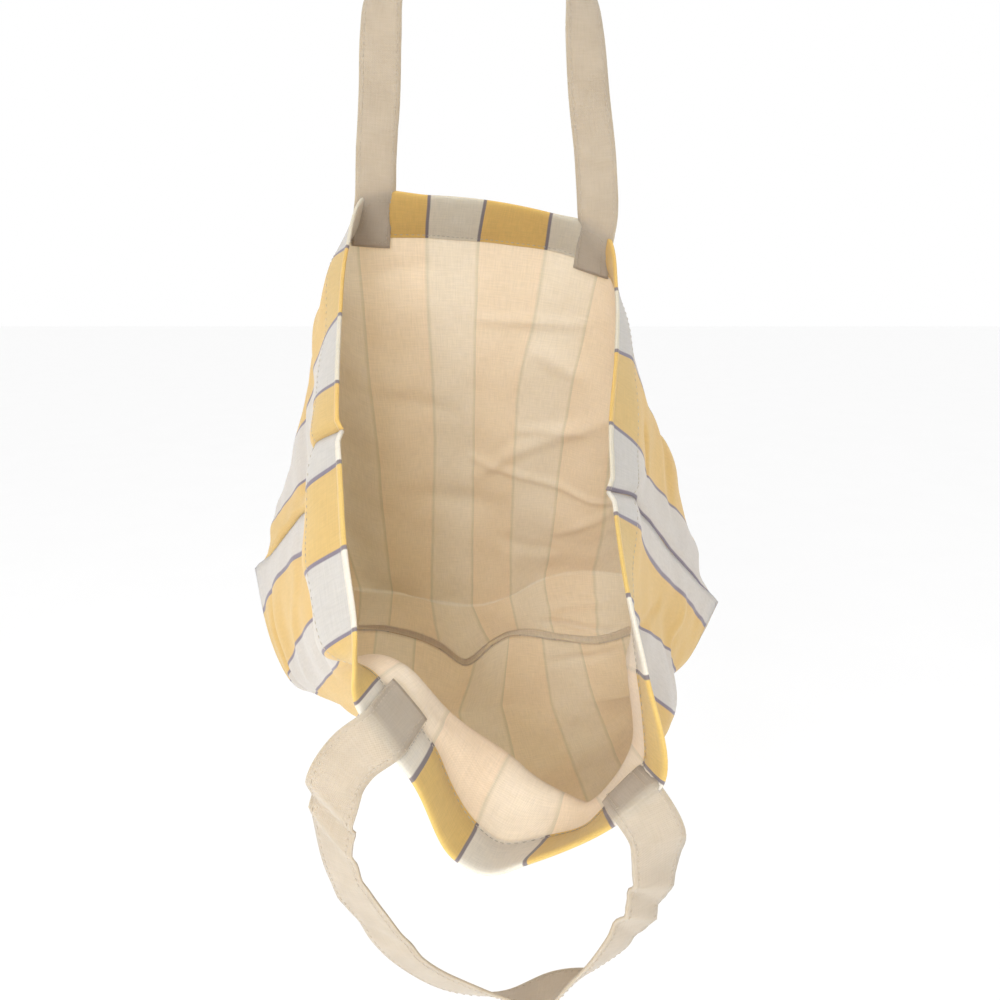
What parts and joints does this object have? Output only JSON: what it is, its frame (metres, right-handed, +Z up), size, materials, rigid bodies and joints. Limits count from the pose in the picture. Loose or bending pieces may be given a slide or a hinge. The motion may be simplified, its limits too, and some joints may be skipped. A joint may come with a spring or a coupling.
{
  "type": "foldable tote bag",
  "caption": "Soft striped cotton tote bag with a tucked base, hung open by its rear handle with the front rim and front handle dropped forward.",
  "frame": {"origin": "underside of the rear handle's crown at mid-width, where a hand or hook carries the bag", "axes": "+Z up as the bag hangs, +X across the bag to the right seen from the mouth, +Y from the front panel to the back panel"},
  "size_m": [0.396, 0.3956, 0.5299],
  "materials": {
    "striped_cotton": "printed plain weave cotton, matte",
    "hem_cotton": "the same printed cotton, folded in double",
    "handle_tape": "plain unprinted cotton, folded and topstitched",
    "thread": "spun sewing thread",
    "seam_cotton": "raw cloth edges overlocked together"
  },
  "bodies": {
    "rear_handle": {"rear_handle": "handle_tape", "rear_handle_topstitching": "thread"},
    "back": {"back_panel": "striped_cotton", "back_left_side": "striped_cotton", "back_right_side": "striped_cotton", "back_hem": "hem_cotton", "left_side_hem": "hem_cotton", "right_side_hem": "hem_cotton", "back_hem_stitching": "thread", "base_back": "striped_cotton", "base_front": "striped_cotton", "bottom_seam": "seam_cotton", "left_side_seam": "seam_cotton", "right_side_seam": "seam_cotton", "rear_handle_left_end": "handle_tape", "rear_handle_right_end": "handle_tape", "rear_handle_end_stitching": "thread"},
    "front": {"front_panel": "striped_cotton", "front_hem": "hem_cotton", "front_hem_stitching": "thread", "front_left_side": "striped_cotton", "front_right_side": "striped_cotton", "front_handle_left_end": "handle_tape", "front_handle_right_end": "handle_tape", "front_handle_end_stitching": "thread"},
    "front_handle": {"front_handle": "handle_tape", "front_handle_topstitching": "thread"}
  },
  "joints": [
    {"name": "rear_handle_hinge", "type": "hinge", "parent": "rear_handle", "child": "back", "pos_m": [0, -0.003, -0.115], "axis": [1, 0, 0], "range_deg": [-30, 100]},
    {"name": "mouth_close", "type": "hinge", "parent": "back", "child": "front", "pos_m": [0, 0.0493, -0.4873], "axis": [-1, 0, 0], "range_deg": [-15, 50], "deforming": ["front_left_side", "front_right_side"]},
    {"name": "front_handle_swing", "type": "hinge", "parent": "front", "child": "front_handle", "pos_m": [0, -0.2099, -0.3378], "axis": [1, 0, 0], "range_deg": [-100, 18]}
  ]
}
